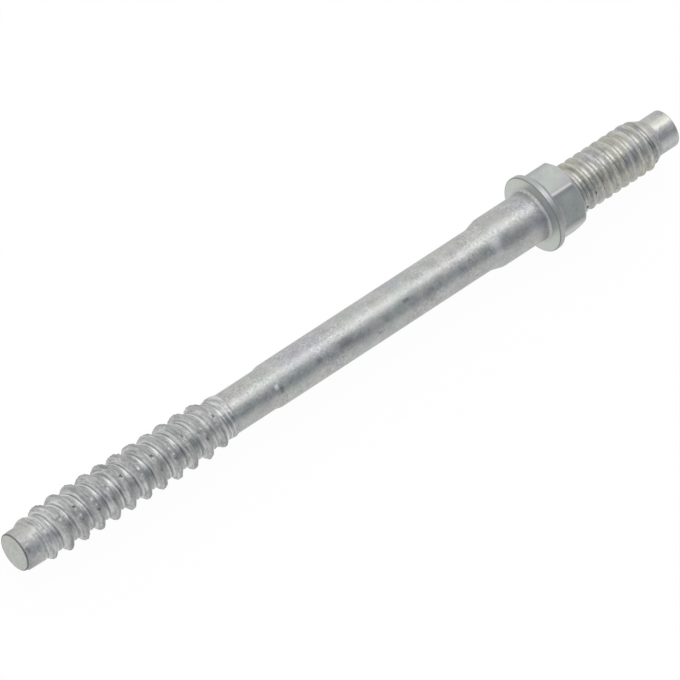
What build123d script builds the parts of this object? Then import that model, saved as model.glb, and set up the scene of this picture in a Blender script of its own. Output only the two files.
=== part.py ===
from build123d import *
import os
from math import ceil

# Stud bolt, one piece of zinc-plated steel: a coarse self-tapping thread with a plain pilot at one end, a shank
# that thickens in two steps, a hex with a washer flange, and a machine thread with a dog point at the other end.
# Millimetres. The axis is X and the origin is the centre of the flange's bearing face. The coarse thread points
# to -X and the machine thread to +X. The stud lies level, as on a bench, with one flat of the hex upwards.

# Shank, from the flange towards the coarse thread
thick_shank_diameter = 6.2
thick_shank_length = 6.55
shoulder_cone_length = 1.55
middle_shank_diameter = 5.35
middle_shank_length = 31.2
neck_cone_length = 0.75
slim_shank_diameter = 4.98
slim_shank_length = 5.95

# Coarse self-tapping thread, right-hand: a ridge that rises out of the pilot and fades into a low collar. The
# run-in and run-out are shares of the ridge's full height, one turn apart.
coarse_major_diameter = 6.3
coarse_root_diameter = 5.0
coarse_pitch = 2.25
coarse_turns = 13
coarse_crest_width = 0.34
coarse_base_width = 1.09
coarse_run_in = (0.65, 0.97)
coarse_run_out = (0.77,)
coarse_start_angle = 58.8
ridge_sink = 0.3
ridge_dip = 0.2
collar_diameter = 5.25
collar_length = 0.95

# Pilot at the coarse end
pilot_diameter = 4.65
pilot_length = 1.7
pilot_bevel = 0.1
pilot_cone_length = 0.5

# Washer flange and hex
flange_diameter = 9.5
flange_rim = 0.7
flange_cone_top_diameter = 7.8
flange_cone_height = 0.75
hex_across_flats = 7.9
hex_height = 4.65
hex_corner_radius = 0.7
hex_turn = -2.5
hex_end_circle = 7.9
hex_end_bevel = 0.9

# Machine thread, 1/4-20, right-hand, as a V groove in a bevelled blank
machine_major_diameter = 6.25
machine_minor_diameter = 4.92
machine_pitch = 1.27
machine_crest_width = 0.23
machine_length = 13.05
machine_bevel_length = 1.7
machine_start_angle = -74.0
groove_overrun = 0.2

# Dog point at the machine end
dog_diameter = 4.62
dog_length = 2.65
dog_bevel = 0.1

# Places along the axis, worked out from the lengths above
shoulder_x = -thick_shank_length
middle_x = shoulder_x - shoulder_cone_length
neck_x = middle_x - middle_shank_length
slim_x = neck_x - neck_cone_length
collar_x = slim_x - slim_shank_length
root_x = collar_x - collar_length
coarse_start_x = collar_x - coarse_turns * coarse_pitch
pilot_x = coarse_start_x + coarse_pitch / 4
pilot_end_x = pilot_x - pilot_length
machine_end_x = hex_height + machine_length
dog_end_x = machine_end_x + dog_length


def helical_sweep(start_x, pitch, radius, outlines):
    """A right-hand helical solid along X, swept turn by turn from each outline to the next.

    An outline's points are (along the axis, outwards from the helix).
    """
    with BuildPart() as helical:
        for turn, ends in enumerate(zip(outlines, outlines[1:])):
            with BuildLine() as path:
                Helix(pitch, pitch, radius, center=(start_x + turn * pitch, 0, 0), direction=(1, 0, 0))
            for along, outline in enumerate(ends):
                with BuildSketch(Plane(path.line @ along, x_dir=(1, 0, 0), z_dir=(0, -1, 0))):
                    Polygon(*outline, align=None)
            sweep(multisection=True, is_frenet=True)
    return helical.part


# Coarse thread's ridge, from below the pilot's surface to the middle of the collar
coarse_height = (coarse_major_diameter - coarse_root_diameter) / 2
flank_run = (coarse_base_width - coarse_crest_width) / 2
sunk_width = coarse_base_width + 2 * flank_run * ridge_sink / coarse_height
full_turns = coarse_turns - len(coarse_run_in) - len(coarse_run_out) - 1
shares = [*coarse_run_in, *([1.0] * full_turns), *coarse_run_out]
ridge_outlines = [
    [
        (-sunk_width / 2, -ridge_sink),
        (sunk_width / 2, -ridge_sink),
        (coarse_crest_width / 2, height),
        (-coarse_crest_width / 2, height),
    ]
    for height in [-ridge_dip, *(coarse_height * share for share in shares), -ridge_dip]
]
coarse_ridge = helical_sweep(coarse_start_x, coarse_pitch, coarse_root_diameter / 2, ridge_outlines)

# Machine thread's groove, which starts inside the hex and runs out past the blank's bevelled end
machine_depth = (machine_major_diameter - machine_minor_diameter) / 2
groove_width = (machine_pitch - machine_crest_width) * (1 + groove_overrun)
groove_turns = ceil(machine_length / machine_pitch) + 1
groove_start_x = machine_end_x + machine_pitch / 2 - groove_turns * machine_pitch
groove_outline = [
    (0, -machine_depth),
    (groove_width / 2, machine_depth * groove_overrun),
    (-groove_width / 2, machine_depth * groove_overrun),
]
machine_groove = helical_sweep(
    groove_start_x, machine_pitch, machine_major_diameter / 2, [groove_outline] * (groove_turns + 1)
)

# Machine thread
with BuildPart() as machine_thread:
    with BuildSketch(Plane.XZ):
        with BuildLine():
            Polyline(
                (0, 0),
                (0, machine_major_diameter / 2),
                (machine_end_x - machine_bevel_length, machine_major_diameter / 2),
                (machine_end_x, dog_diameter / 2),
                (machine_end_x, 0),
                close=True,
            )
        make_face()
    revolve(axis=Axis.X)
    add(machine_groove, rotation=(machine_start_angle, 0, 0), mode=Mode.SUBTRACT)

# Hex with rounded corners, its outer end bevelled to a circle, on a washer flange with a conical back
with BuildPart() as head:
    with BuildSketch(Plane.YZ) as hex_outline:
        RegularPolygon(hex_across_flats / 2, 6, major_radius=False, rotation=hex_turn)
        fillet(hex_outline.vertices(), hex_corner_radius)
    extrude(amount=hex_height)
    with BuildSketch(Plane.XZ):
        with BuildLine():
            Polyline(
                (0, 0),
                (0, flange_diameter / 2),
                (hex_height - hex_end_bevel, flange_diameter / 2),
                (hex_height, hex_end_circle / 2),
                (hex_height, 0),
                close=True,
            )
        make_face()
    revolve(axis=Axis.X, mode=Mode.INTERSECT)
    with BuildSketch(Plane.XZ):
        with BuildLine():
            Polyline(
                (0, 0),
                (0, flange_diameter / 2),
                (flange_rim, flange_diameter / 2),
                (flange_rim + flange_cone_height, flange_cone_top_diameter / 2),
                (flange_rim + flange_cone_height, 0),
                close=True,
            )
        make_face()
    revolve(axis=Axis.X)

# The whole stud as one solid: the turned shank, pilot and dog point, with the head and both threads
with BuildPart() as stud_bolt:
    with BuildSketch(Plane.XZ):
        with BuildLine():
            Polyline(
                (pilot_end_x, 0),
                (pilot_end_x, pilot_diameter / 2 - pilot_bevel),
                (pilot_end_x + pilot_bevel, pilot_diameter / 2),
                (pilot_x, pilot_diameter / 2),
                (pilot_x + pilot_cone_length, coarse_root_diameter / 2),
                (root_x, coarse_root_diameter / 2),
                (collar_x, collar_diameter / 2),
                (collar_x, slim_shank_diameter / 2),
                (slim_x, slim_shank_diameter / 2),
                (neck_x, middle_shank_diameter / 2),
                (middle_x, middle_shank_diameter / 2),
                (shoulder_x, thick_shank_diameter / 2),
                (0, thick_shank_diameter / 2),
                (0, dog_diameter / 2),
                (dog_end_x - dog_bevel, dog_diameter / 2),
                (dog_end_x, dog_diameter / 2 - dog_bevel),
                (dog_end_x, 0),
                close=True,
            )
        make_face()
    revolve(axis=Axis.X)
    add(head.part)
    add(machine_thread.part)
    add(coarse_ridge, rotation=(coarse_start_angle, 0, 0))
stud_bolt.part.label = "stud_bolt"

os.makedirs("parts", exist_ok=True)
export_step(stud_bolt.part, "parts/stud_bolt.step")
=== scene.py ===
"""Stud bolt, zinc plated, on a pale bench: the finely rolled form and its finish.

The sizes are in millimetres and follow the part's own frame: the stud's axis is X, the origin is the centre
of the flange's bearing face, and one flat of the hex is upwards. A turned part is drawn as a profile and
swept round the axis. The threads and the hex are drawn as rows and columns whose radius follows a rule.
"""
from math import atan, ceil, cos, pi, radians, sin, tan

import bmesh
import bpy
from mathutils import Matrix, Vector


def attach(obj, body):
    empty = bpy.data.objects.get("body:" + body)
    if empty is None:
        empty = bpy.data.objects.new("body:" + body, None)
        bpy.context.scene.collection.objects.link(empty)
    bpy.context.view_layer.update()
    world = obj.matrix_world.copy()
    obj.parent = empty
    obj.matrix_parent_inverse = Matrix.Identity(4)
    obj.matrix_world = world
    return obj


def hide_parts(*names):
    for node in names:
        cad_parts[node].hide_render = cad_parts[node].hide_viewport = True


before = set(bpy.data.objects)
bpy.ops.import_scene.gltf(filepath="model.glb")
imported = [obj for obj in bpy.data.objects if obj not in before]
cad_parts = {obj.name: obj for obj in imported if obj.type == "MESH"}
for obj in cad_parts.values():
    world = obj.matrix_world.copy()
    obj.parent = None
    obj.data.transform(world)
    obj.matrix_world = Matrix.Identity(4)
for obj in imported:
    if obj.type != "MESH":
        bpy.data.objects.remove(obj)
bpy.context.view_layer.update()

MILLIMETRE = 0.001

# Columns round the stud. They crowd towards the hex's six corners, which are rounded.
COLUMNS = 108
CROWDING = 0.5

# Plain strips beside the joints between parts and past each rounded corner, which keep the shading of the
# long faces true
JOINT_STRIP = 0.08
CORNER_STRIP = 0.05

# Shank, with its lengths from the flange towards the coarse thread. A cone is where it starts and ends.
THICK_RADIUS = 3.1
THICK_LENGTH = 6.55
SHOULDER_LENGTH = 1.55
MIDDLE_RADIUS = 2.675
MIDDLE_LENGTH = 31.2
NECK_LENGTH = 0.75
SLIM_RADIUS = 2.49
SLIM_LENGTH = 5.95
SHOULDER_CONE = (-THICK_LENGTH - SHOULDER_LENGTH, -THICK_LENGTH)
NECK_CONE = (SHOULDER_CONE[0] - MIDDLE_LENGTH - NECK_LENGTH, SHOULDER_CONE[0] - MIDDLE_LENGTH)

# Coarse self-tapping thread, with its collar. It ends where the slim shank does.
COARSE_START = -75.9
COARSE_END = NECK_CONE[0] - SLIM_LENGTH
COARSE_PITCH = 2.25
COARSE_ROWS = 32
COARSE_CREST_X = COARSE_END - 13 * COARSE_PITCH
COARSE_CREST_ANGLE = radians(148.8)
COARSE_TURNS = 13.4
COARSE_ROOT = 2.5
COARSE_HEIGHT = 0.65
COLLAR_START = COARSE_END - 0.95
COLLAR_RADIUS = 2.625

# Pilot, whose cone leads up to the coarse thread's root
PILOT_RADIUS = 2.325
PILOT_LENGTH = 1.7
PILOT_END = COARSE_CREST_X + COARSE_PITCH / 4 - PILOT_LENGTH
PILOT_CONE = (-74.7, -74.2)

# Flange and hex. The hex's first ring lies on the flange's cone.
FLANGE_RADIUS = 4.75
FLANGE_RIM = 0.7
FLANGE_SLOPE = 1.13
HEX_START = 0.9
HEX_START_RADIUS = FLANGE_RADIUS - FLANGE_SLOPE * (HEX_START - FLANGE_RIM)
HEX_STEPS = 56
HEX_END = 4.65
HEX_APOTHEM = 3.95
HEX_CORNER_RADIUS = 0.7
HEX_CORNER_ANGLE = radians(-2.5)
HEX_END_RADIUS = 3.95
HEX_BEVEL_SLOPE = 0.89

# Machine thread and dog point. The thread's first ring lies on the hex's end face.
MACHINE_RADIUS = 3.125
MACHINE_START_RADIUS = MACHINE_RADIUS + 0.1
MACHINE_ROOT = 2.70
MACHINE_PITCH = 1.27
MACHINE_ROWS = 24
MACHINE_CREST_X = 2.46
MACHINE_CREST_ANGLE = radians(16.0)
MACHINE_LENGTH = 13.05
MACHINE_BEVEL = 1.7
MACHINE_END = HEX_END + MACHINE_LENGTH
DOG_RADIUS = 2.31
DOG_LENGTH = 2.65
DOG_END = MACHINE_END + DOG_LENGTH


class Value:
    """A node's output in an expression. An operator adds the Math node that works it out."""

    def __init__(self, sheet, socket):
        self.sheet = sheet
        self.socket = socket

    def output(self, name):
        """Another output of the same node."""
        return Value(self.sheet, self.socket.node.outputs[name])

    def __add__(self, other):
        return self.sheet.maths("ADD", self, other)

    def __radd__(self, other):
        return self.sheet.maths("ADD", other, self)

    def __sub__(self, other):
        return self.sheet.maths("SUBTRACT", self, other)

    def __rsub__(self, other):
        return self.sheet.maths("SUBTRACT", other, self)

    def __mul__(self, other):
        return self.sheet.maths("MULTIPLY", self, other)

    def __rmul__(self, other):
        return self.sheet.maths("MULTIPLY", other, self)

    def __truediv__(self, other):
        return self.sheet.maths("DIVIDE", self, other)

    def __rtruediv__(self, other):
        return self.sheet.maths("DIVIDE", other, self)

    def __abs__(self):
        return self.sheet.maths("ABSOLUTE", self)


class Sheet:
    """A node tree that is filled by expressions and by its one method for any other node."""

    def __init__(self, tree):
        self.tree = tree

    def node(self, kind, settings=None, values=None):
        """Adds a node, its settings first and then its sockets' values or links. Gives its first output."""
        node = self.tree.nodes.new(kind)
        for name, setting in (settings or {}).items():
            if name == "points":
                curve = node.mapping.curves[0]
                for place, height in setting[1:-1]:
                    curve.points.new(place, height)
                curve.points[0].location = setting[0]
                curve.points[-1].location = setting[-1]
                node.mapping.update()
            else:
                setattr(node, name, setting)
        for name, value in (values or {}).items():
            if isinstance(value, Value):
                self.tree.links.new(value.socket, node.inputs[name])
            else:
                node.inputs[name].default_value = value
        return Value(self, node.outputs[0]) if node.outputs else None

    def maths(self, operation, *terms):
        return self.node("ShaderNodeMath", {"operation": operation}, dict(enumerate(terms)))

    def smaller(self, one, other, rounding=0.0):
        if rounding:
            return self.maths("SMOOTH_MIN", one, other, rounding)
        return self.maths("MINIMUM", one, other)

    def larger(self, one, other, rounding=0.0):
        if rounding:
            return self.maths("SMOOTH_MAX", one, other, rounding)
        return self.maths("MAXIMUM", one, other)

    def between(self, value, low=0.0, high=1.0):
        return self.smaller(self.larger(value, low), high)

    def ramp(self, value, start, end, low=0.0, high=1.0, form="LINEAR"):
        """low up to start, high from end on, and between them a straight or an eased rise."""
        return self.node(
            "ShaderNodeMapRange",
            {"interpolation_type": form},
            {"Value": value, "From Min": start, "From Max": end, "To Min": low, "To Max": high},
        )

    def vector(self, x, y, z):
        return self.node("ShaderNodeCombineXYZ", None, {0: x, 1: y, 2: z})

    def tinted(self, under, over, share):
        """The colour over, laid on the colour under by its share."""
        mix = self.node("ShaderNodeMix", {"data_type": "RGBA"}, {0: share, 6: under, 7: over})
        return Value(self, mix.socket.node.outputs[2])


# Forms: geometry node trees, in millimetres until their last step


def form_tree(name, sizes):
    """A new geometry tree with a named input for each size. Gives its sheet and the inputs by name."""
    tree = bpy.data.node_groups.new(name, "GeometryNodeTree")
    tree.interface.new_socket("Geometry", in_out="INPUT", socket_type="NodeSocketGeometry")
    for size, value in sizes.items():
        kind = "NodeSocketInt" if isinstance(value, int) else "NodeSocketFloat"
        tree.interface.new_socket(size, in_out="INPUT", socket_type=kind)
    tree.interface.new_socket("Finish", in_out="INPUT", socket_type="NodeSocketMaterial")
    tree.interface.new_socket("Geometry", in_out="OUTPUT", socket_type="NodeSocketGeometry")
    sheet = Sheet(tree)
    start = sheet.node("NodeGroupInput")
    return sheet, {socket: start.output(socket) for socket in ["Geometry", *sizes, "Finish"]}


def finish_form(sheet, geometry, finish):
    """The end of every form: a plain mesh, smooth and in its finish."""
    merged = sheet.node("GeometryNodeMergeByDistance", None, {"Geometry": geometry, "Distance": 0.002})
    scaled = sheet.node("GeometryNodeTransform", None, {"Geometry": merged, "Scale": (MILLIMETRE,) * 3})
    smooth = sheet.node("GeometryNodeSetShadeSmooth", None, {"Geometry": scaled})
    real = sheet.node("GeometryNodeRealizeInstances", None, {"Geometry": smooth})
    coated = sheet.node("GeometryNodeSetMaterial", None, {"Geometry": real, "Material": finish})
    sheet.node("NodeGroupOutput", None, {"Geometry": coated})


def made(name, base, sheet, sizes, finish):
    """The plain mesh that a form tree gives on a base mesh."""
    piece = bpy.data.objects.new(name, base)
    bpy.context.scene.collection.objects.link(piece)
    modifier = piece.modifiers.new(name, "NODES")
    modifier.node_group = sheet.tree
    for item in sheet.tree.interface.items_tree:
        if item.in_out == "INPUT" and item.name in sizes:
            modifier[item.identifier] = sizes[item.name]
        elif item.in_out == "INPUT" and item.name == "Finish":
            modifier[item.identifier] = finish
    graph = bpy.context.evaluated_depsgraph_get()
    mesh = bpy.data.meshes.new_from_object(piece.evaluated_get(graph), depsgraph=graph)
    piece.modifiers.remove(modifier)
    bpy.data.objects.remove(piece)
    return mesh


def crowded(sheet, angle, corner, crowding):
    """A column's angle, moved towards the nearest corner of the hex."""
    return angle - crowding / 6 * sheet.maths("SINE", 6 * (angle - corner))


def wrapped(sheet, geometry, x, radius, angle):
    """Rolls rows and columns up about the X axis."""
    rolled = sheet.vector(x, radius * sheet.maths("COSINE", angle), radius * sheet.maths("SINE", angle))
    return sheet.node("GeometryNodeSetPosition", None, {"Geometry": geometry, "Position": rolled})


def row_form(sheet, size):
    """A flat grid of rows and columns. Gives the grid, each point's row along X, and its angle."""
    grid = sheet.node(
        "GeometryNodeMeshGrid",
        None,
        {
            "Size X": (size["Rows"] - 1) * size["Row Step"],
            "Size Y": 2 * pi,
            "Vertices X": size["Rows"],
            "Vertices Y": size["Columns"] + 1,
        },
    )
    place = sheet.node("ShaderNodeSeparateXYZ", None, {0: sheet.node("GeometryNodeInputPosition")})
    row = place + (size["Rows"] - 1) * size["Row Step"] / 2 + size["First Row"]
    angle = crowded(sheet, place.output("Y") + pi, size["Corner Angle"], size["Crowding"])
    return grid, row, angle


def closed_at_ends(sheet, radius, row, x, size):
    """Rows past an end lie in the end's plane and go in or out to the radius of the next part there."""
    before = sheet.between((x - row) / size["Row Step"])
    after = sheet.between((row - x) / size["Row Step"])
    radius = radius + before * (size["Start Radius"] - radius)
    return radius + after * (size["End Radius"] - radius)


def beside_crest(sheet, x, angle, crest_x, crest_angle, pitch):
    """How far a point lies beyond its nearest crest, and how many turns along the thread that crest is."""
    turns = (x - crest_x) / pitch - (angle - crest_angle) / (2 * pi)
    beyond = turns - sheet.maths("ROUND", turns)
    return beyond * pitch, (x - crest_x) / pitch - beyond


def thread_form():
    """A rolled thread: rows that climb with the helix, so that its crests and roots are true edges."""
    sizes = {
        "Columns": 0, "Crowding": 0.0, "Corner Angle": 0.0, "Rows": 0, "Row Step": 0.0, "First Row": 0.0,
        "Start": 0.0, "End": 0.0, "Start Radius": 0.0, "End Radius": 0.0,
        "Pitch": 0.0, "Crest Place": 0.0, "Crest Angle": 0.0, "Turns": 0.0, "Dip": 0.0, "Fading": 0.0,
        "Root Radius": 0.0, "Height": 0.0, "Crest Width": 0.0, "Base Width": 0.0, "Crest Rounding": 0.0,
        "Near Fillet": 0.0, "Far Fillet": 0.0, "Seam Place": 0.0, "Seam Width": 0.0, "Seam Depth": 0.0,
        "Ridge Height": 0.0,
        "Core Ripple": 0.0, "Crest Ripple": 0.0, "Ripple Length": 0.0,
        "Lead Start": 0.0, "Lead End": 0.0, "Lead Radius": 0.0,
        "Tail Start": 0.0, "Tail End": 0.0, "Tail Radius": 0.0,
        "Blank Radius": 0.0, "Bevel Start": 0.0, "Bevel Radius": 0.0,
    }
    sheet, size = form_tree("rolled thread", sizes)
    grid, row, angle = row_form(sheet, size)
    climbed = row + size["Pitch"] * angle / (2 * pi)
    x = sheet.between(climbed, size["Start"], size["End"])
    beyond, along = beside_crest(sheet, x, angle, size["Crest Place"], size["Crest Angle"], size["Pitch"])

    # A fading thread rises out of the pilot and dies away in the collar
    share = sheet.node(
        "ShaderNodeFloatCurve",
        {
            "points": [
                (0.0, 0.0), (0.039, 0.49), (0.095, 0.80), (0.122, 0.93), (0.165, 0.98), (0.195, 1.0),
                (0.82, 1.0), (0.878, 0.86), (0.912, 0.74), (0.945, 0.44), (0.98, 0.4), (1.0, 0.3),
            ]
        },
        {"Value": sheet.between(along / size["Turns"])},
    )
    faded = (size["Height"] + size["Dip"]) * share - size["Dip"]
    height = size["Height"] + size["Fading"] * (faded - size["Height"])

    # The tooth: two flanks and a crest
    crest = size["Crest Width"] / 2
    base = size["Base Width"] / 2
    flank = height * (base - abs(beyond)) / (base - crest)
    tooth = size["Root Radius"] + sheet.smaller(flank, height, size["Crest Rounding"])

    # The core: lead, root and tail, with one fillet towards the near flank and another towards the far one
    lead = sheet.ramp(x, size["Lead Start"], size["Lead End"], size["Lead Radius"], size["Root Radius"])
    tail = sheet.ramp(x, size["Tail Start"], size["Tail End"], 0.0, size["Tail Radius"] - size["Root Radius"])
    fillet = sheet.ramp(beyond, -0.04, 0.04, size["Near Fillet"], size["Far Fillet"])
    form = sheet.larger(tooth, lead + tail, fillet)

    # The fine seam that rolling leaves, the low ridge in the root, and the ripples of the rolled metal
    seam = 1 - sheet.ramp(abs(beyond - size["Seam Place"]) / size["Seam Width"], 0.0, 1.0, form="SMOOTHSTEP")
    full_turns = sheet.ramp(along, 0.4, 1.4) * sheet.ramp(along, 11.6, 12.4, 1.0, 0.0)
    seam_share = 1 - size["Fading"] * (1 - full_turns)
    on_crest = (1 - size["Fading"] * (1 - share)) * (1 - sheet.ramp(abs(beyond), crest, base))
    ripple_place = sheet.vector(x, 3 * sheet.maths("COSINE", angle), 3 * sheet.maths("SINE", angle))
    ripple = sheet.node(
        "ShaderNodeTexNoise",
        None,
        {"Vector": ripple_place, "Scale": 1 / size["Ripple Length"], "Detail": 1.0, "Roughness": 0.5},
    )
    ripple_height = size["Core Ripple"] + on_crest * (size["Crest Ripple"] - size["Core Ripple"])
    ridge = sheet.ramp(abs(beyond), size["Pitch"] / 2 - 0.15, size["Pitch"] / 2 - 0.02, form="SMOOTHSTEP")
    form = form + seam_share * (size["Ridge Height"] * ridge - size["Seam Depth"] * seam)
    form = form + ripple_height * (2 * ripple - 1)

    # The bevelled blank that the thread is rolled from
    blank = sheet.ramp(x, size["Bevel Start"], size["End"], size["Blank Radius"], size["Bevel Radius"])
    radius = closed_at_ends(sheet, sheet.smaller(form, blank, 0.04), climbed, x, size)
    finish_form(sheet, wrapped(sheet, grid, x, radius, angle), size["Finish"])
    return sheet


def hex_form():
    """The hex, with rounded corners and a bevelled end, rising out of the flange's cone."""
    sizes = {
        "Columns": 0, "Crowding": 0.0, "Corner Angle": 0.0, "Rows": 0, "Row Step": 0.0, "First Row": 0.0,
        "Start": 0.0, "End": 0.0, "Start Radius": 0.0, "End Radius": 0.0,
        "Apothem": 0.0, "Corner Radius": 0.0, "Corner Reach": 0.0, "Bevel Radius": 0.0, "Bevel Slope": 0.0,
        "Cone Slope": 0.0,
    }
    sheet, size = form_tree("hex on a flange", sizes)
    grid, row, angle = row_form(sheet, size)
    x = sheet.between(row, size["Start"], size["End"])
    from_corner = abs(sheet.maths("WRAP", angle - size["Corner Angle"], pi / 6, -pi / 6))
    flat = size["Apothem"] / sheet.maths("COSINE", pi / 6 - from_corner)
    centre = (size["Apothem"] - size["Corner Radius"]) / cos(pi / 6)
    across = centre * sheet.maths("SINE", from_corner)
    reach = sheet.larger(size["Corner Radius"] * size["Corner Radius"] - across * across, 0.0)
    corner = centre * sheet.maths("COSINE", from_corner) + sheet.maths("SQRT", reach)
    rounded = sheet.maths("LESS_THAN", from_corner, size["Corner Reach"])
    outline = flat + rounded * (corner - flat)
    bevel = size["Bevel Radius"] + size["Bevel Slope"] * (size["End"] - x)
    cone = size["Start Radius"] - size["Cone Slope"] * (x - size["Start"])
    radius = sheet.larger(sheet.smaller(outline, bevel, 0.1), cone, 0.15)
    radius = closed_at_ends(sheet, radius, row, x, size)
    finish_form(sheet, wrapped(sheet, grid, x, radius, angle), size["Finish"])
    return sheet


def turned_form():
    """A profile of lengths and radii, with its corners rounded, swept round the axis."""
    sizes = {"Columns": 0, "Crowding": 0.0, "Corner Angle": 0.0, "Corner Steps": 0}
    sheet, size = form_tree("turned part", sizes)
    profile = sheet.node("GeometryNodeMeshToCurve", None, {0: size["Geometry"]})
    rounding = sheet.node("GeometryNodeInputNamedAttribute", {"data_type": "FLOAT"}, {"Name": "rounding"})
    rounded = sheet.node(
        "GeometryNodeFilletCurve",
        {"mode": "POLY"},
        {"Curve": profile, "Radius": rounding, "Count": size["Corner Steps"]},
    )
    full_turn = sheet.node(
        "GeometryNodeCurvePrimitiveLine", None, {"Start": (0, 0, 0), "End": (0, 0, 2 * pi)}
    )
    way_round = sheet.node(
        "GeometryNodeResampleCurve", {"mode": "COUNT"}, {"Curve": full_turn, "Count": size["Columns"] + 1}
    )
    swept = sheet.node("GeometryNodeCurveToMesh", None, {"Curve": way_round, "Profile Curve": rounded})
    place = sheet.node("ShaderNodeSeparateXYZ", None, {0: sheet.node("GeometryNodeInputPosition")})
    angle = crowded(sheet, place.output("Z"), size["Corner Angle"], size["Crowding"])
    finish_form(sheet, wrapped(sheet, swept, place, place.output("Y"), angle), size["Finish"])
    return sheet


def stepped(start, goal, distance):
    """A plain station this far from the start on the way to the goal."""
    start, goal = Vector(start[:2]), Vector(goal[:2])
    return (*(start + distance * (goal - start).normalized()), 0.0)


def profile_mesh(name, stations):
    """A chain of edges through stations of (x, radius, rounding), and plain ones beside rounded corners."""
    first, last = stations[0], stations[-1]
    points = [first]
    if first[1] > 0:
        points.append(stepped(first, stations[1], JOINT_STRIP))
    for before, here, after in zip(stations, stations[1:], stations[2:]):
        corner = Vector(here[:2])
        back, on = Vector(before[:2]) - corner, Vector(after[:2]) - corner
        reach = here[2] / max(tan(back.angle(on) / 2), 0.01) + CORNER_STRIP
        if back.length > 4 * reach:
            points.append(stepped(here, before, reach))
        points.append(here)
        if on.length > 4 * reach:
            points.append(stepped(here, after, reach))
    if last[1] > 0:
        points.append(stepped(last, stations[-2], JOINT_STRIP))
    points.append(last)
    mesh = bpy.data.meshes.new(name)
    links = [(i, i + 1) for i in range(len(points) - 1)]
    mesh.from_pydata([(x, radius, 0) for x, radius, _ in points], links, [])
    attribute = mesh.attributes.new("rounding", "FLOAT", "POINT")
    for item, point in zip(attribute.data, points):
        item.value = point[2]
    return mesh


def thread_rows(start, end, pitch, rows_per_turn, crest_x, crest_angle):
    """How many rows a thread takes, how far apart they are and where the first is, with one on the crest."""
    step = pitch / rows_per_turn
    crest = crest_x - pitch * crest_angle / (2 * pi)
    first = crest + step * int((start - 1.5 * pitch - crest) / step)
    return {"Row Step": step, "First Row": first, "Rows": ceil((end + pitch / 2 - first) / step) + 1}


# Finish


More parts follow.
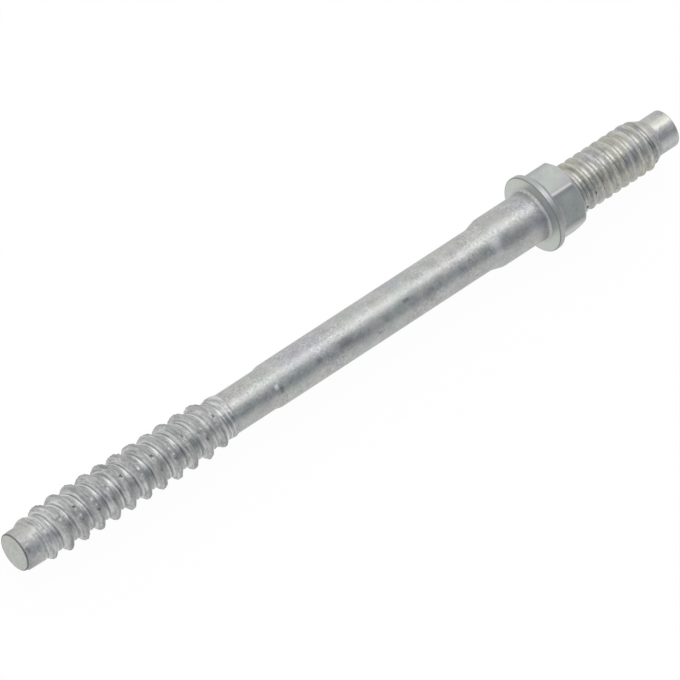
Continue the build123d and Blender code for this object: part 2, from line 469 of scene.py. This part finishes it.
def zinc_plate():
    """Zinc plate over rolled and turned steel.

    It is a mottled grey with faint green, lavender and yellow tints, with painted shade in the threads'
    roots, darker round the sheared edges, nicked on the coarse crests and smudged on the shank. It also
    carries painted highlights and painted light on the coarse crests and flanks, in the machine thread's
    roots and on the dog point.
    """
    material = bpy.data.materials.new("zinc plate")
    material.use_nodes = True
    material.node_tree.nodes.clear()
    sheet = Sheet(material.node_tree)
    place = sheet.node("ShaderNodeTexCoord").output("Object")
    spot = sheet.node("ShaderNodeSeparateXYZ", None, {0: place})
    x = spot / MILLIMETRE
    y = spot.output("Y") / MILLIMETRE
    z = spot.output("Z") / MILLIMETRE
    radius = sheet.maths("SQRT", y * y + z * z)
    angle = sheet.maths("ARCTAN2", z, y)

    def noise(size, detail=3.0, roughness=0.55, stretch=(1, 1, 1), seed=0.0):
        """Noise whose patches are about size millimetres across, from 0 to 1."""
        moved = sheet.node(
            "ShaderNodeMapping", None, {"Vector": place, "Location": (seed, seed, seed), "Scale": stretch}
        )
        return sheet.node(
            "ShaderNodeTexNoise",
            None,
            {"Vector": moved, "Scale": 1 / (size * MILLIMETRE), "Detail": detail, "Roughness": roughness},
        )

    def near(value, middle, core, edge):
        """1 within core of the middle, and 0 beyond edge of it."""
        return sheet.ramp(abs(value - middle), core, edge, 1.0, 0.0, form="SMOOTHSTEP")

    def towards(degrees, core, edge):
        """1 within core millimetres of a line along the stud at this angle, and 0 beyond edge of it."""
        aside = sheet.maths("WRAP", angle - radians(degrees), pi, -pi)
        return near(aside * radius, 0.0, core, edge)

    # Where each part of the stud is
    on_coarse = sheet.ramp(x, PILOT_CONE[0] + 0.1, PILOT_CONE[1] + 0.3)
    on_coarse = on_coarse * sheet.ramp(x, COARSE_END - 0.1, COARSE_END, 1.0, 0.0)
    on_machine = sheet.ramp(x, HEX_END, HEX_END + 0.2)
    on_machine = on_machine * sheet.ramp(x, MACHINE_END - 0.2, MACHINE_END, 1.0, 0.0)
    on_thread = on_coarse + on_machine
    beyond, _ = beside_crest(sheet, x, angle, COARSE_CREST_X, COARSE_CREST_ANGLE, COARSE_PITCH)
    on_crest = on_coarse * near(beyond, 0.0, 0.12, 0.25) * sheet.ramp(radius, 2.9, 3.0)
    on_pilot = sheet.ramp(x, PILOT_CONE[0] + 0.1, PILOT_CONE[0] - 0.5)
    on_head = near(x, 0.5 * HEX_END, 0.5 * HEX_END, 0.5 * HEX_END + 0.3) * sheet.ramp(radius, 3.2, 3.4)
    on_seat = near(x, 0.0, 0.03, 0.08) * sheet.ramp(radius, 3.4, 3.6)
    on_rim = sheet.ramp(x, 0.08, 0.16) * sheet.ramp(radius, 4.2, 4.4)
    on_dog = sheet.ramp(x, MACHINE_END, MACHINE_END + 0.1)

    # Its grains, from fine speckle to wide clouds
    blotches = noise(1.6, 4.0, 0.6)
    clouds = noise(4.5, 2.0, 0.5, seed=0.3)
    speckle = noise(0.28, 2.0, 0.7, seed=0.7)
    drawn = noise(0.5, 3.0, 0.6, stretch=(0.12, 1, 1), seed=1.1)
    mottle = noise(0.7, 2.0, 0.6, seed=3.1)

    # Fine lines that run round with the threads
    way_round = sheet.maths("WRAP", angle, radians(300), radians(-60))
    climb = (COARSE_PITCH * on_coarse + MACHINE_PITCH * on_machine) / (2 * pi)
    streaks = sheet.node(
        "ShaderNodeTexNoise",
        None,
        {
            "Vector": sheet.vector(x - climb * way_round, 0.1 * y, 0.1 * z),
            "Scale": 4.5,
            "Detail": 3.0,
            "Roughness": 0.6,
        },
    )

    # Plate and its tints
    grey = sheet.tinted((0.385, 0.39, 0.39, 1), (0.53, 0.535, 0.53, 1), sheet.ramp(blotches, 0.32, 0.68))
    grey = sheet.tinted(grey, (0.42, 0.49, 0.45, 1), 0.35 * sheet.ramp(clouds, 0.52, 0.68))
    grey = sheet.tinted(grey, (0.54, 0.61, 0.56, 1), 0.35 * on_head)
    lavender = sheet.ramp(noise(3.8, 2.0, 0.5, seed=0.9), 0.50, 0.66)
    grey = sheet.tinted(grey, (0.41, 0.40, 0.49, 1), 0.30 * lavender)
    yellow = sheet.ramp(noise(3.0, 2.0, 0.5, seed=1.7), 0.40, 0.60) * (0.12 + 0.33 * on_machine)
    grey = sheet.tinted(grey, (0.56, 0.54, 0.41, 1), yellow)
    grain = (1 - 0.6 * on_head) * sheet.ramp(noise(4.0, 2.0, 0.5, seed=4.1), 0.40, 0.60, 0.45, 1.0)
    grey = sheet.tinted(grey, (0.20, 0.205, 0.21, 1), 0.7 * grain * sheet.ramp(speckle, 0.55, 0.72))
    grey = sheet.tinted(grey, (0.74, 0.75, 0.74, 1), 0.6 * grain * sheet.ramp(speckle, 0.45, 0.30))

    strength = 0.55 * on_coarse + 0.32 * on_machine
    grey = sheet.tinted(grey, (0.17, 0.175, 0.18, 1), strength * sheet.ramp(streaks, 0.52, 0.66))
    grey = sheet.tinted(grey, (0.80, 0.81, 0.80, 1), strength * sheet.ramp(streaks, 0.47, 0.34))
    grey = sheet.tinted(grey, (0.24, 0.245, 0.25, 1), 0.30 * on_coarse * sheet.ramp(mottle, 0.52, 0.68))

    # Duller metal on the coarse thread's crests and painted shade in its roots, with a bright line along
    # the middle of the root, and painted light that makes the far flanks paler
    grey = sheet.tinted(grey, (0.33, 0.34, 0.34, 1), 0.45 * on_crest)
    # Painted shade in the coarse roots: darkest at the bottom of the groove, and a lighter darkening across
    # each root
    grey = sheet.tinted(grey, (0.14, 0.145, 0.15, 1), 0.5 * on_coarse * sheet.ramp(radius, 2.49, 2.43))
    root_shade = on_coarse * sheet.ramp(abs(beyond), 0.45, 0.65)
    grey = sheet.tinted(grey, (0.30, 0.305, 0.31, 1), 0.30 * root_shade)
    mid_root = near(abs(beyond), COARSE_PITCH / 2, 0.06, 0.18)
    burnished = sheet.larger(mid_root, 0.8 * near(beyond, -0.62, 0.04, 0.16))
    unbroken = sheet.ramp(streaks, 0.62, 0.42)
    grey = sheet.tinted(grey, (0.78, 0.79, 0.78, 1), 0.6 * on_coarse * burnished * unbroken)
    # Painted light: the far flanks, which face away and fall into shade, lightened
    far_flank_fill_light = on_coarse * near(beyond, 0.45, 0.15, 0.32)
    grey = sheet.tinted(grey, (0.85, 0.86, 0.85, 1), 0.5 * far_flank_fill_light)

    # Painted shade in the machine thread's roots, a painted highlight along the top of its roots, and a dark
    # ring near its end
    # Painted shade: the machine thread's roots darker the deeper they lie
    grey = sheet.tinted(grey, (0.22, 0.215, 0.20, 1), 0.2 * on_machine * sheet.ramp(radius, 3.0, 2.82))
    # Painted highlight: the roots made lighter only along the top, at one angle round the stud
    painted_root_highlight = on_machine * sheet.ramp(radius, 3.06, 2.9) * towards(106, 0.4, 1.1)
    grey = sheet.tinted(grey, (0.9, 0.9, 0.86, 1), 0.22 * painted_root_highlight)
    grey = sheet.tinted(grey, (0.12, 0.12, 0.12, 1), 0.2 * near(x, MACHINE_END - 0.55, 0.06, 0.2))

    # Nicks and painted glints, which are painted highlights, on the coarse crests, once or twice a turn
    chance = noise(2.2, 1.0, 0.5, seed=2.3)
    upper_nick = towards(112, 0.08, 0.24) * sheet.ramp(chance, 0.42, 0.52)
    lower_nick = towards(145, 0.1, 0.35) * sheet.ramp(chance, 0.58, 0.48)
    nick = on_crest * sheet.larger(upper_nick, 0.7 * lower_nick) * sheet.ramp(speckle, 0.38, 0.52)
    grey = sheet.tinted(grey, (0.06, 0.06, 0.06, 1), 0.8 * nick)
    # Painted highlights: pale glints at fixed angles round the coarse crests
    painted_lower_glint = towards(133, 0.05, 0.18) * sheet.ramp(chance, 0.55, 0.50)
    painted_glint = on_crest * sheet.larger(towards(119, 0.08, 0.22), painted_lower_glint)
    grey = sheet.tinted(grey, (0.80, 0.80, 0.79, 1), 0.7 * painted_glint * sheet.ramp(speckle, 0.40, 0.55))

    # The flange's pale seat and dull rim, dark rings round its edge and the sheared end, and the sheared face
    ring = near(x, PILOT_END + 0.06, 0.05, 0.14) * sheet.ramp(radius, PILOT_RADIUS - 0.2, PILOT_RADIUS - 0.08)
    grey = sheet.tinted(grey, (0.62, 0.67, 0.61, 1), 0.5 * on_seat)
    grey = sheet.tinted(grey, (0.40, 0.39, 0.41, 1), 0.6 * on_rim)
    flange_edge = near(x, 0.0, 0.05, 0.16) * sheet.ramp(radius, FLANGE_RADIUS - 0.16, FLANGE_RADIUS - 0.06)
    grey = sheet.tinted(grey, (0.10, 0.10, 0.11, 1), 0.7 * sheet.larger(ring, flange_edge))
    sheared = sheet.ramp(x, PILOT_END + 0.02, PILOT_END)
    sheared = sheared * sheet.ramp(radius, PILOT_RADIUS - 0.12, PILOT_RADIUS - 0.25)
    patches = sheet.ramp(mottle + speckle, 1.2, 0.8, 0.45, 0.95)
    grey = sheet.tinted(grey, (0.58, 0.60, 0.56, 1), sheared * patches)

    # Painted light on the dog point, lighter along the top and the lower side and darker in a band between,
    # and its dark end edge
    # Painted highlight along the top, painted shade in the band below it and painted light on the lower side
    grey = sheet.tinted(grey, (0.80, 0.81, 0.68, 1), 0.4 * on_dog * towards(99, 0.3, 0.75))
    grey = sheet.tinted(grey, (0.30, 0.30, 0.32, 1), 0.25 * on_dog * towards(123, 0.1, 0.4))
    grey = sheet.tinted(grey, (0.72, 0.76, 0.70, 1), 0.3 * on_dog * towards(162, 0.4, 0.9))
    dog_edge = near(x, DOG_END, 0.03, 0.16) * sheet.ramp(radius, DOG_RADIUS - 0.25, DOG_RADIUS - 0.12)
    grey = sheet.tinted(grey, (0.16, 0.15, 0.18, 1), 0.5 * dog_edge)

    # Smudges on the shank and the pilot: each one's place along the stud, its angle, its reach along the stud
    # and round it, and the share of its tint
    for at, degrees, reach, width, share in (
        (-29.7, 134, 1.5, 0.8, 0.7), (-20.6, 130, 0.8, 0.36, 0.85), (-25.05, 165, 0.6, 0.3, 0.5),
        (-39.4, 148, 0.3, 0.7, 0.75), (-33.6, 138, 0.75, 0.5, 0.75), (-75.8, 139, 0.42, 0.62, 0.75),
    ):
        smudge = near(x + 1.2 * (mottle - 0.5), at, 0.2 * reach, reach) * towards(degrees, 0.2 * width, width)
        smudge = smudge * sheet.ramp(speckle, 0.62, 0.42, 0.5, 1.0)
        grey = sheet.tinted(grey, (0.17, 0.18, 0.20, 1), share * smudge)

    # A pale patch on the shoulder, pits in the machine thread and a bright mark at the neck
    shoulder = near(x, -7.3, 0.1, 0.95) * towards(142, 0.0, 1.6) * (0.6 + 0.4 * mottle)
    grey = sheet.tinted(grey, (0.95, 0.95, 0.96, 1), 0.55 * shoulder)
    for at, degrees in ((7.24, 168), (5.6, 183)):
        pit = near(x, at, 0.1, 0.24) * towards(degrees, 0.1, 0.28)
        grey = sheet.tinted(grey, (0.03, 0.03, 0.03, 1), 0.9 * pit)
    bright_mark = near(x, -39.8, 0.1, 0.3) * towards(136, 0.15, 0.4)
    grey = sheet.tinted(grey, (0.85, 0.86, 0.85, 1), 0.8 * bright_mark)

    # Relief and gloss
    fine = (0.45 * grain + 0.1 * on_machine + 0.4 * on_crest) * speckle + 0.6 * on_thread * streaks
    bump_height = 2.2 * clouds + 0.7 * blotches + fine + 0.3 * drawn + 1.0 * on_pilot * mottle - 1.5 * nick
    bump = sheet.node(
        "ShaderNodeBump", None, {"Strength": 1.0, "Distance": 0.03 * MILLIMETRE, "Height": bump_height}
    )
    metal = sheet.node(
        "ShaderNodeBsdfPrincipled",
        None,
        {
            "Base Color": grey,
            "Metallic": 1.0,
            "Roughness": 0.34 + 0.16 * blotches + 0.12 * on_crest + 0.16 * on_pilot,
            "Normal": bump,
        },
    )
    sheet.node("ShaderNodeOutputMaterial", None, {"Surface": metal})
    return material


zinc = zinc_plate()

# The parts of the stud, each up to the ring that it shares with the next
round_sizes = {"Columns": COLUMNS, "Crowding": CROWDING, "Corner Angle": HEX_CORNER_ANGLE}
turned = turned_form()
thread = thread_form()
hexagon = hex_form()


def turned_part(name, stations):
    return made(name, profile_mesh(name, stations), turned, {**round_sizes, "Corner Steps": 6}, zinc)


pilot = turned_part(
    "pilot",
    [(PILOT_END, 0, 0), (PILOT_END, PILOT_RADIUS, 0.15), (COARSE_START, PILOT_RADIUS, 0)],
)
coarse_rows = thread_rows(
    COARSE_START, COARSE_END, COARSE_PITCH, COARSE_ROWS, COARSE_CREST_X, COARSE_CREST_ANGLE
)
coarse_thread = made(
    "coarse thread",
    bpy.data.meshes.new("coarse thread"),
    thread,
    {
        **round_sizes,
        **coarse_rows,
        "Start": COARSE_START, "End": COARSE_END, "Start Radius": PILOT_RADIUS, "End Radius": SLIM_RADIUS,
        "Pitch": COARSE_PITCH, "Crest Place": COARSE_CREST_X, "Crest Angle": COARSE_CREST_ANGLE,
        "Turns": COARSE_TURNS, "Dip": 0.2, "Fading": 1.0,
        "Root Radius": COARSE_ROOT, "Height": COARSE_HEIGHT, "Crest Width": 0.22, "Base Width": 1.32,
        "Crest Rounding": 0.08, "Near Fillet": 0.1, "Far Fillet": 0.3,
        "Seam Place": -0.82, "Seam Width": 0.12, "Seam Depth": 0.06, "Ridge Height": 0.05,
        "Core Ripple": 0.03, "Crest Ripple": 0.15, "Ripple Length": 0.4,
        "Lead Start": PILOT_CONE[0], "Lead End": PILOT_CONE[1], "Lead Radius": PILOT_RADIUS,
        "Tail Start": COLLAR_START, "Tail End": COARSE_END, "Tail Radius": COLLAR_RADIUS,
        "Blank Radius": 5.0, "Bevel Start": COARSE_END - 0.1, "Bevel Radius": 5.0,
    },
    zinc,
)
shank = turned_part(
    "shank",
    [
        (COARSE_END, SLIM_RADIUS, 0), (NECK_CONE[0], SLIM_RADIUS, 1.5), (NECK_CONE[1], MIDDLE_RADIUS, 1.5),
        (SHOULDER_CONE[0], MIDDLE_RADIUS, 2.0), (SHOULDER_CONE[1], THICK_RADIUS, 2.0),
        (0, THICK_RADIUS, 0.35), (0, FLANGE_RADIUS, 0.12), (FLANGE_RIM, FLANGE_RADIUS, 0.15),
        (HEX_START, HEX_START_RADIUS, 0),
    ],
)
corner_centre = (HEX_APOTHEM - HEX_CORNER_RADIUS) / cos(pi / 6)
hex_head = made(
    "hex head",
    bpy.data.meshes.new("hex head"),
    hexagon,
    {
        **round_sizes,
        "Rows": HEX_STEPS + 2, "Row Step": (HEX_END - HEX_START) / HEX_STEPS, "First Row": HEX_START,
        "Start": HEX_START, "End": HEX_END,
        "Start Radius": HEX_START_RADIUS, "End Radius": MACHINE_START_RADIUS,
        "Apothem": HEX_APOTHEM, "Corner Radius": HEX_CORNER_RADIUS,
        "Corner Reach": atan(
            HEX_CORNER_RADIUS * sin(pi / 6) / (corner_centre + HEX_CORNER_RADIUS * cos(pi / 6))
        ),
        "Bevel Radius": HEX_END_RADIUS, "Bevel Slope": HEX_BEVEL_SLOPE, "Cone Slope": FLANGE_SLOPE,
    },
    zinc,
)
machine_rows = thread_rows(
    HEX_END, MACHINE_END, MACHINE_PITCH, MACHINE_ROWS, MACHINE_CREST_X, MACHINE_CREST_ANGLE
)
machine_thread = made(
    "machine thread",
    bpy.data.meshes.new("machine thread"),
    thread,
    {
        **round_sizes,
        **machine_rows,
        "Start": HEX_END, "End": MACHINE_END, "Start Radius": MACHINE_START_RADIUS, "End Radius": DOG_RADIUS,
        "Pitch": MACHINE_PITCH, "Crest Place": MACHINE_CREST_X, "Crest Angle": MACHINE_CREST_ANGLE,
        "Turns": 1.0, "Dip": 0.0, "Fading": 0.0,
        "Root Radius": MACHINE_ROOT, "Height": MACHINE_RADIUS - MACHINE_ROOT, "Crest Width": 0.26,
        "Base Width": 0.90, "Crest Rounding": 0.06, "Near Fillet": 0.08, "Far Fillet": 0.08,
        "Seam Place": 0.0, "Seam Width": 0.1, "Seam Depth": 0.04, "Ridge Height": 0.0,
        "Core Ripple": 0.05, "Crest Ripple": 0.06, "Ripple Length": 0.35,
        "Lead Start": HEX_END - 0.2, "Lead End": HEX_END - 0.1, "Lead Radius": MACHINE_ROOT,
        "Tail Start": MACHINE_END - 2.6, "Tail End": MACHINE_END - 0.8, "Tail Radius": 2.56,
        "Blank Radius": MACHINE_RADIUS,
        "Bevel Start": MACHINE_END - MACHINE_BEVEL, "Bevel Radius": DOG_RADIUS,
    },
    zinc,
)
dog_point = turned_part(
    "dog point",
    [(MACHINE_END, DOG_RADIUS, 0), (DOG_END, DOG_RADIUS, 0.16), (DOG_END, 0, 0)],
)

# One closed skin from all of them
skin = bmesh.new()
for mesh in (pilot, coarse_thread, shank, hex_head, machine_thread, dog_point):
    skin.from_mesh(mesh)
    bpy.data.meshes.remove(mesh)
bmesh.ops.remove_doubles(skin, verts=skin.verts, dist=0.004 * MILLIMETRE)
bmesh.ops.recalc_face_normals(skin, faces=skin.faces)
stud_mesh = bpy.data.meshes.new("stud")
skin.to_mesh(stud_mesh)
skin.free()
stud_mesh.materials.clear()
stud_mesh.materials.append(zinc)
stud = bpy.data.objects.new("stud", stud_mesh)
bpy.context.scene.collection.objects.link(stud)
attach(stud, "root")
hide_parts("stud_bolt")

# Bench


def seen_directly(sheet):
    """1 for what the camera sees, by itself or in metal and glass, and 0 for what only lights the stud."""
    rays = sheet.node("ShaderNodeLightPath")
    mirrored = sheet.larger(rays.output("Is Glossy Ray"), rays.output("Is Transmission Ray"))
    return sheet.larger(rays.output("Is Camera Ray"), mirrored)


def bench_paint():
    material = bpy.data.materials.new("bench paint")
    material.use_nodes = True
    material.node_tree.nodes.clear()
    sheet = Sheet(material.node_tree)
    paint = sheet.node("ShaderNodeBsdfDiffuse", None, {"Color": (0.9, 0.9, 0.9, 1)})
    place = sheet.node("ShaderNodeSeparateXYZ", None, {0: sheet.node("ShaderNodeTexCoord").output("Object")})
    shade = 0.08 + 0.35 * sheet.ramp(place.output("Y"), -0.02, -0.09)
    unseen = 1 - sheet.node("ShaderNodeLightPath").output("Is Camera Ray")
    white = sheet.node("ShaderNodeEmission", None, {"Color": (1, 1, 1, 1), "Strength": 1 - shade * unseen})
    surface = sheet.node("ShaderNodeMixShader", None, {0: 0.96 * seen_directly(sheet), 1: paint, 2: white})
    sheet.node("ShaderNodeOutputMaterial", None, {"Surface": surface})
    material.cycles.emission_sampling = "NONE"
    return material


bench_mesh = bpy.data.meshes.new("bench")
half = 1.5
height = -FLANGE_RADIUS * MILLIMETRE
corners = [(-half, -half, height), (half, -half, height), (half, half, height), (-half, half, height)]
bench_mesh.from_pydata(corners, [], [(0, 1, 2, 3)])
bench_mesh.materials.append(bench_paint())
bench = bpy.data.objects.new("bench", bench_mesh)
bpy.context.scene.collection.objects.link(bench)

# Light: a white room that is dim in front, and a long soft box overhead

world = bpy.data.worlds.new("studio")
bpy.context.scene.world = world
world.use_nodes = True
world.node_tree.nodes.clear()
room = Sheet(world.node_tree)
way = room.node("ShaderNodeTexCoord").output("Generated")


def dim_around(direction, core, edge):
    """1 within core of a direction, as the cosine of the angle to it, and 0 beyond edge."""
    straight = tuple(Vector(direction).normalized())
    dot = room.node("ShaderNodeVectorMath", {"operation": "DOT_PRODUCT"}, {0: way, 1: straight})
    return room.ramp(dot.output("Value"), edge, core, form="SMOOTHSTEP")


right_front = dim_around((0.50, -0.84, 0.15), 0.94, 0.60)
left_front = dim_around((-0.45, -0.90, -0.05), 0.95, 0.55)
dimness = room.between(0.55 * right_front + 0.38 * left_front)
unseen = 1 - room.node("ShaderNodeLightPath").output("Is Camera Ray")
tone = room.tinted((1, 1, 1, 1), (0.72, 0.86, 1.0, 1), dimness * unseen)
walls = room.node("ShaderNodeBackground", None, {"Color": tone, "Strength": 0.95 - 0.9 * dimness})
backdrop = room.node("ShaderNodeBackground", None, {"Color": tone, "Strength": 1 - dimness * unseen})
air = room.node("ShaderNodeMixShader", None, {0: seen_directly(room), 1: walls, 2: backdrop})
room.node("ShaderNodeOutputWorld", None, {"Surface": air})


def facing(back, right):
    """The turn of a lamp or a camera that looks away from back and has right on its right."""
    back = Vector(back).normalized()
    up = back.cross(Vector(right)).normalized()
    right = up.cross(back)
    return Matrix((right, up, back)).transposed().to_4x4()


def soft_box(name, direction, distance, width, length, power):
    lamp = bpy.data.lights.new(name, "AREA")
    lamp.shape = "RECTANGLE"
    lamp.size = width
    lamp.size_y = length
    lamp.energy = power
    box = bpy.data.objects.new(name, lamp)
    bpy.context.scene.collection.objects.link(box)
    place = Matrix.Translation(Vector(direction).normalized() * distance)
    box.matrix_world = place @ facing(direction, (1, 0, 0))


soft_box("overhead box", (0.2, -0.10, 0.97), 1.0, 1.1, 0.50, 1.8)

# Camera

CAMERA_AZIMUTH = radians(-41.45)
CAMERA_ELEVATION = radians(47.6)
CAMERA_DISTANCE = 1.297
CAMERA_LENS = 617.0

# What the camera aims at: a place on the stud's axis, then a little to its left and a little below it
AIM_ALONG = -0.02756
AIM_LEFT = 0.00095
AIM_DOWN = 0.00058
back = Vector(
    (
        sin(CAMERA_AZIMUTH) * cos(CAMERA_ELEVATION),
        -cos(CAMERA_AZIMUTH) * cos(CAMERA_ELEVATION),
        sin(CAMERA_ELEVATION),
    )
)
right = Vector((cos(CAMERA_AZIMUTH), sin(CAMERA_AZIMUTH), 0.0))
aim = Vector((AIM_ALONG, 0.0, 0.0)) - AIM_LEFT * right - AIM_DOWN * back.cross(right)
lens = bpy.data.cameras.new("camera")
lens.lens = CAMERA_LENS
lens.sensor_width = 36.0
lens.clip_end = 20.0
camera = bpy.data.objects.new("camera", lens)
bpy.context.scene.collection.objects.link(camera)
camera.matrix_world = Matrix.Translation(aim + CAMERA_DISTANCE * back) @ facing(back, right)
bpy.context.scene.camera = camera
bpy.context.scene.view_settings.view_transform = "Standard"
